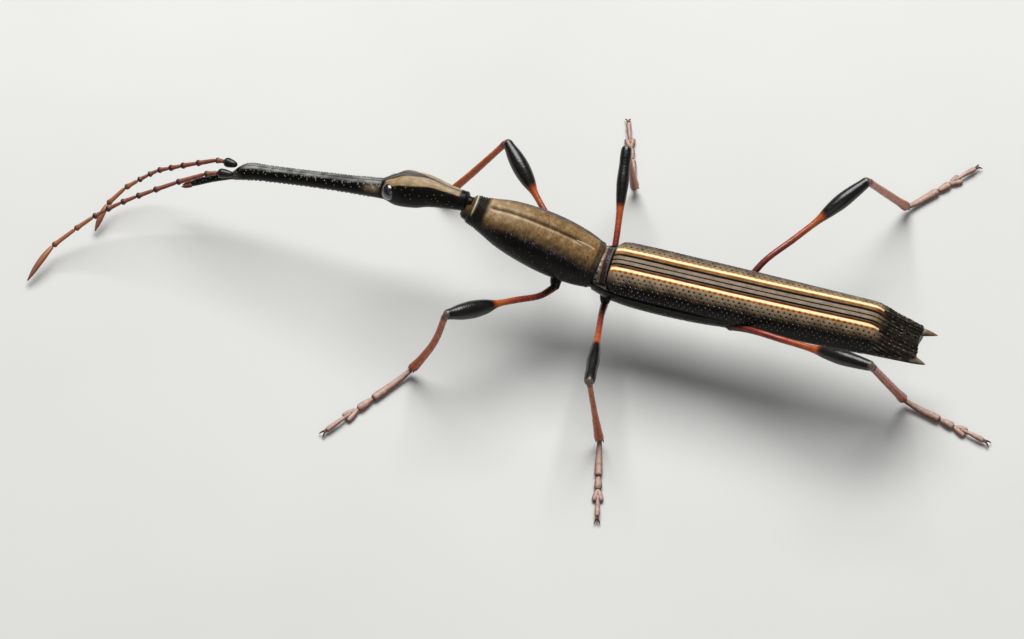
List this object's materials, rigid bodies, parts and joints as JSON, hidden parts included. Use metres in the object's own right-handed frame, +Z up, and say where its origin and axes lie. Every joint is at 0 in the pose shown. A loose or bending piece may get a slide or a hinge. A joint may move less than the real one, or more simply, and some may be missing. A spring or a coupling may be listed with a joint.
{
  "type": "long-snouted weevil model",
  "caption": "Still, life-size long-snouted straight weevil standing on its feet: slim body, long rostrum, beaded feelers, striped wing cases with tail spines.",
  "frame": {"origin": "on the floor under the middle of the outline, halfway along and across the whole beetle", "axes": "+X from the head towards the tail, +Y towards the beetle's right side, +Z up from the floor"},
  "size_m": [0.05, 0.0268, 0.0077],
  "materials": {
    "elytra_shell": "half-gloss bronze-brown wing cases with two raised pale orange stripes and rows of round pits",
    "black_shell": "glossy black shell with fine pale specks",
    "bronze_shell": "half-gloss bronze-brown shell, black and glossier on the lower sides",
    "eye_black": "wet-looking black",
    "reddish_horn": "dark red-brown polished horn",
    "antenna_black": "half-gloss black",
    "antenna_red_brown": "satin red-brown with darker joint ends",
    "leg_red": "glossy dark red to orange, the thick part of each femur black",
    "tarsus_brown": "satin mauve-brown with fine yellow hair below"
  },
  "bodies": {
    "root": {"elytron_left": "elytra_shell", "elytron_right": "elytra_shell", "pterothorax": "black_shell", "abdomen": "black_shell", "rostrum": "black_shell", "coxa_front_left": "black_shell", "coxa_front_right": "black_shell", "coxa_middle_left": "black_shell", "coxa_middle_right": "black_shell", "coxa_hind_left": "black_shell", "coxa_hind_right": "black_shell", "prothorax": "bronze_shell", "head": "bronze_shell", "eye_left": "eye_black", "eye_right": "eye_black", "mandible_left": "reddish_horn", "mandible_right": "reddish_horn", "antenna_scape_left": "antenna_black", "antenna_scape_right": "antenna_black", "antenna_funicle_left": "antenna_red_brown", "antenna_funicle_right": "antenna_red_brown", "antenna_club_left": "antenna_red_brown", "antenna_club_right": "antenna_red_brown", "femur_front_left": "leg_red", "femur_front_right": "leg_red", "femur_middle_left": "leg_red", "femur_middle_right": "leg_red", "femur_hind_left": "leg_red", "femur_hind_right": "leg_red", "tibia_front_left": "leg_red", "tibia_front_right": "leg_red", "tibia_middle_left": "leg_red", "tibia_middle_right": "leg_red", "tibia_hind_left": "leg_red", "tibia_hind_right": "leg_red", "tarsus_front_left": "tarsus_brown", "tarsus_front_right": "tarsus_brown", "tarsus_middle_left": "tarsus_brown", "tarsus_middle_right": "tarsus_brown", "tarsus_hind_left": "tarsus_brown", "tarsus_hind_right": "tarsus_brown"}
  },
  "joints": []
}
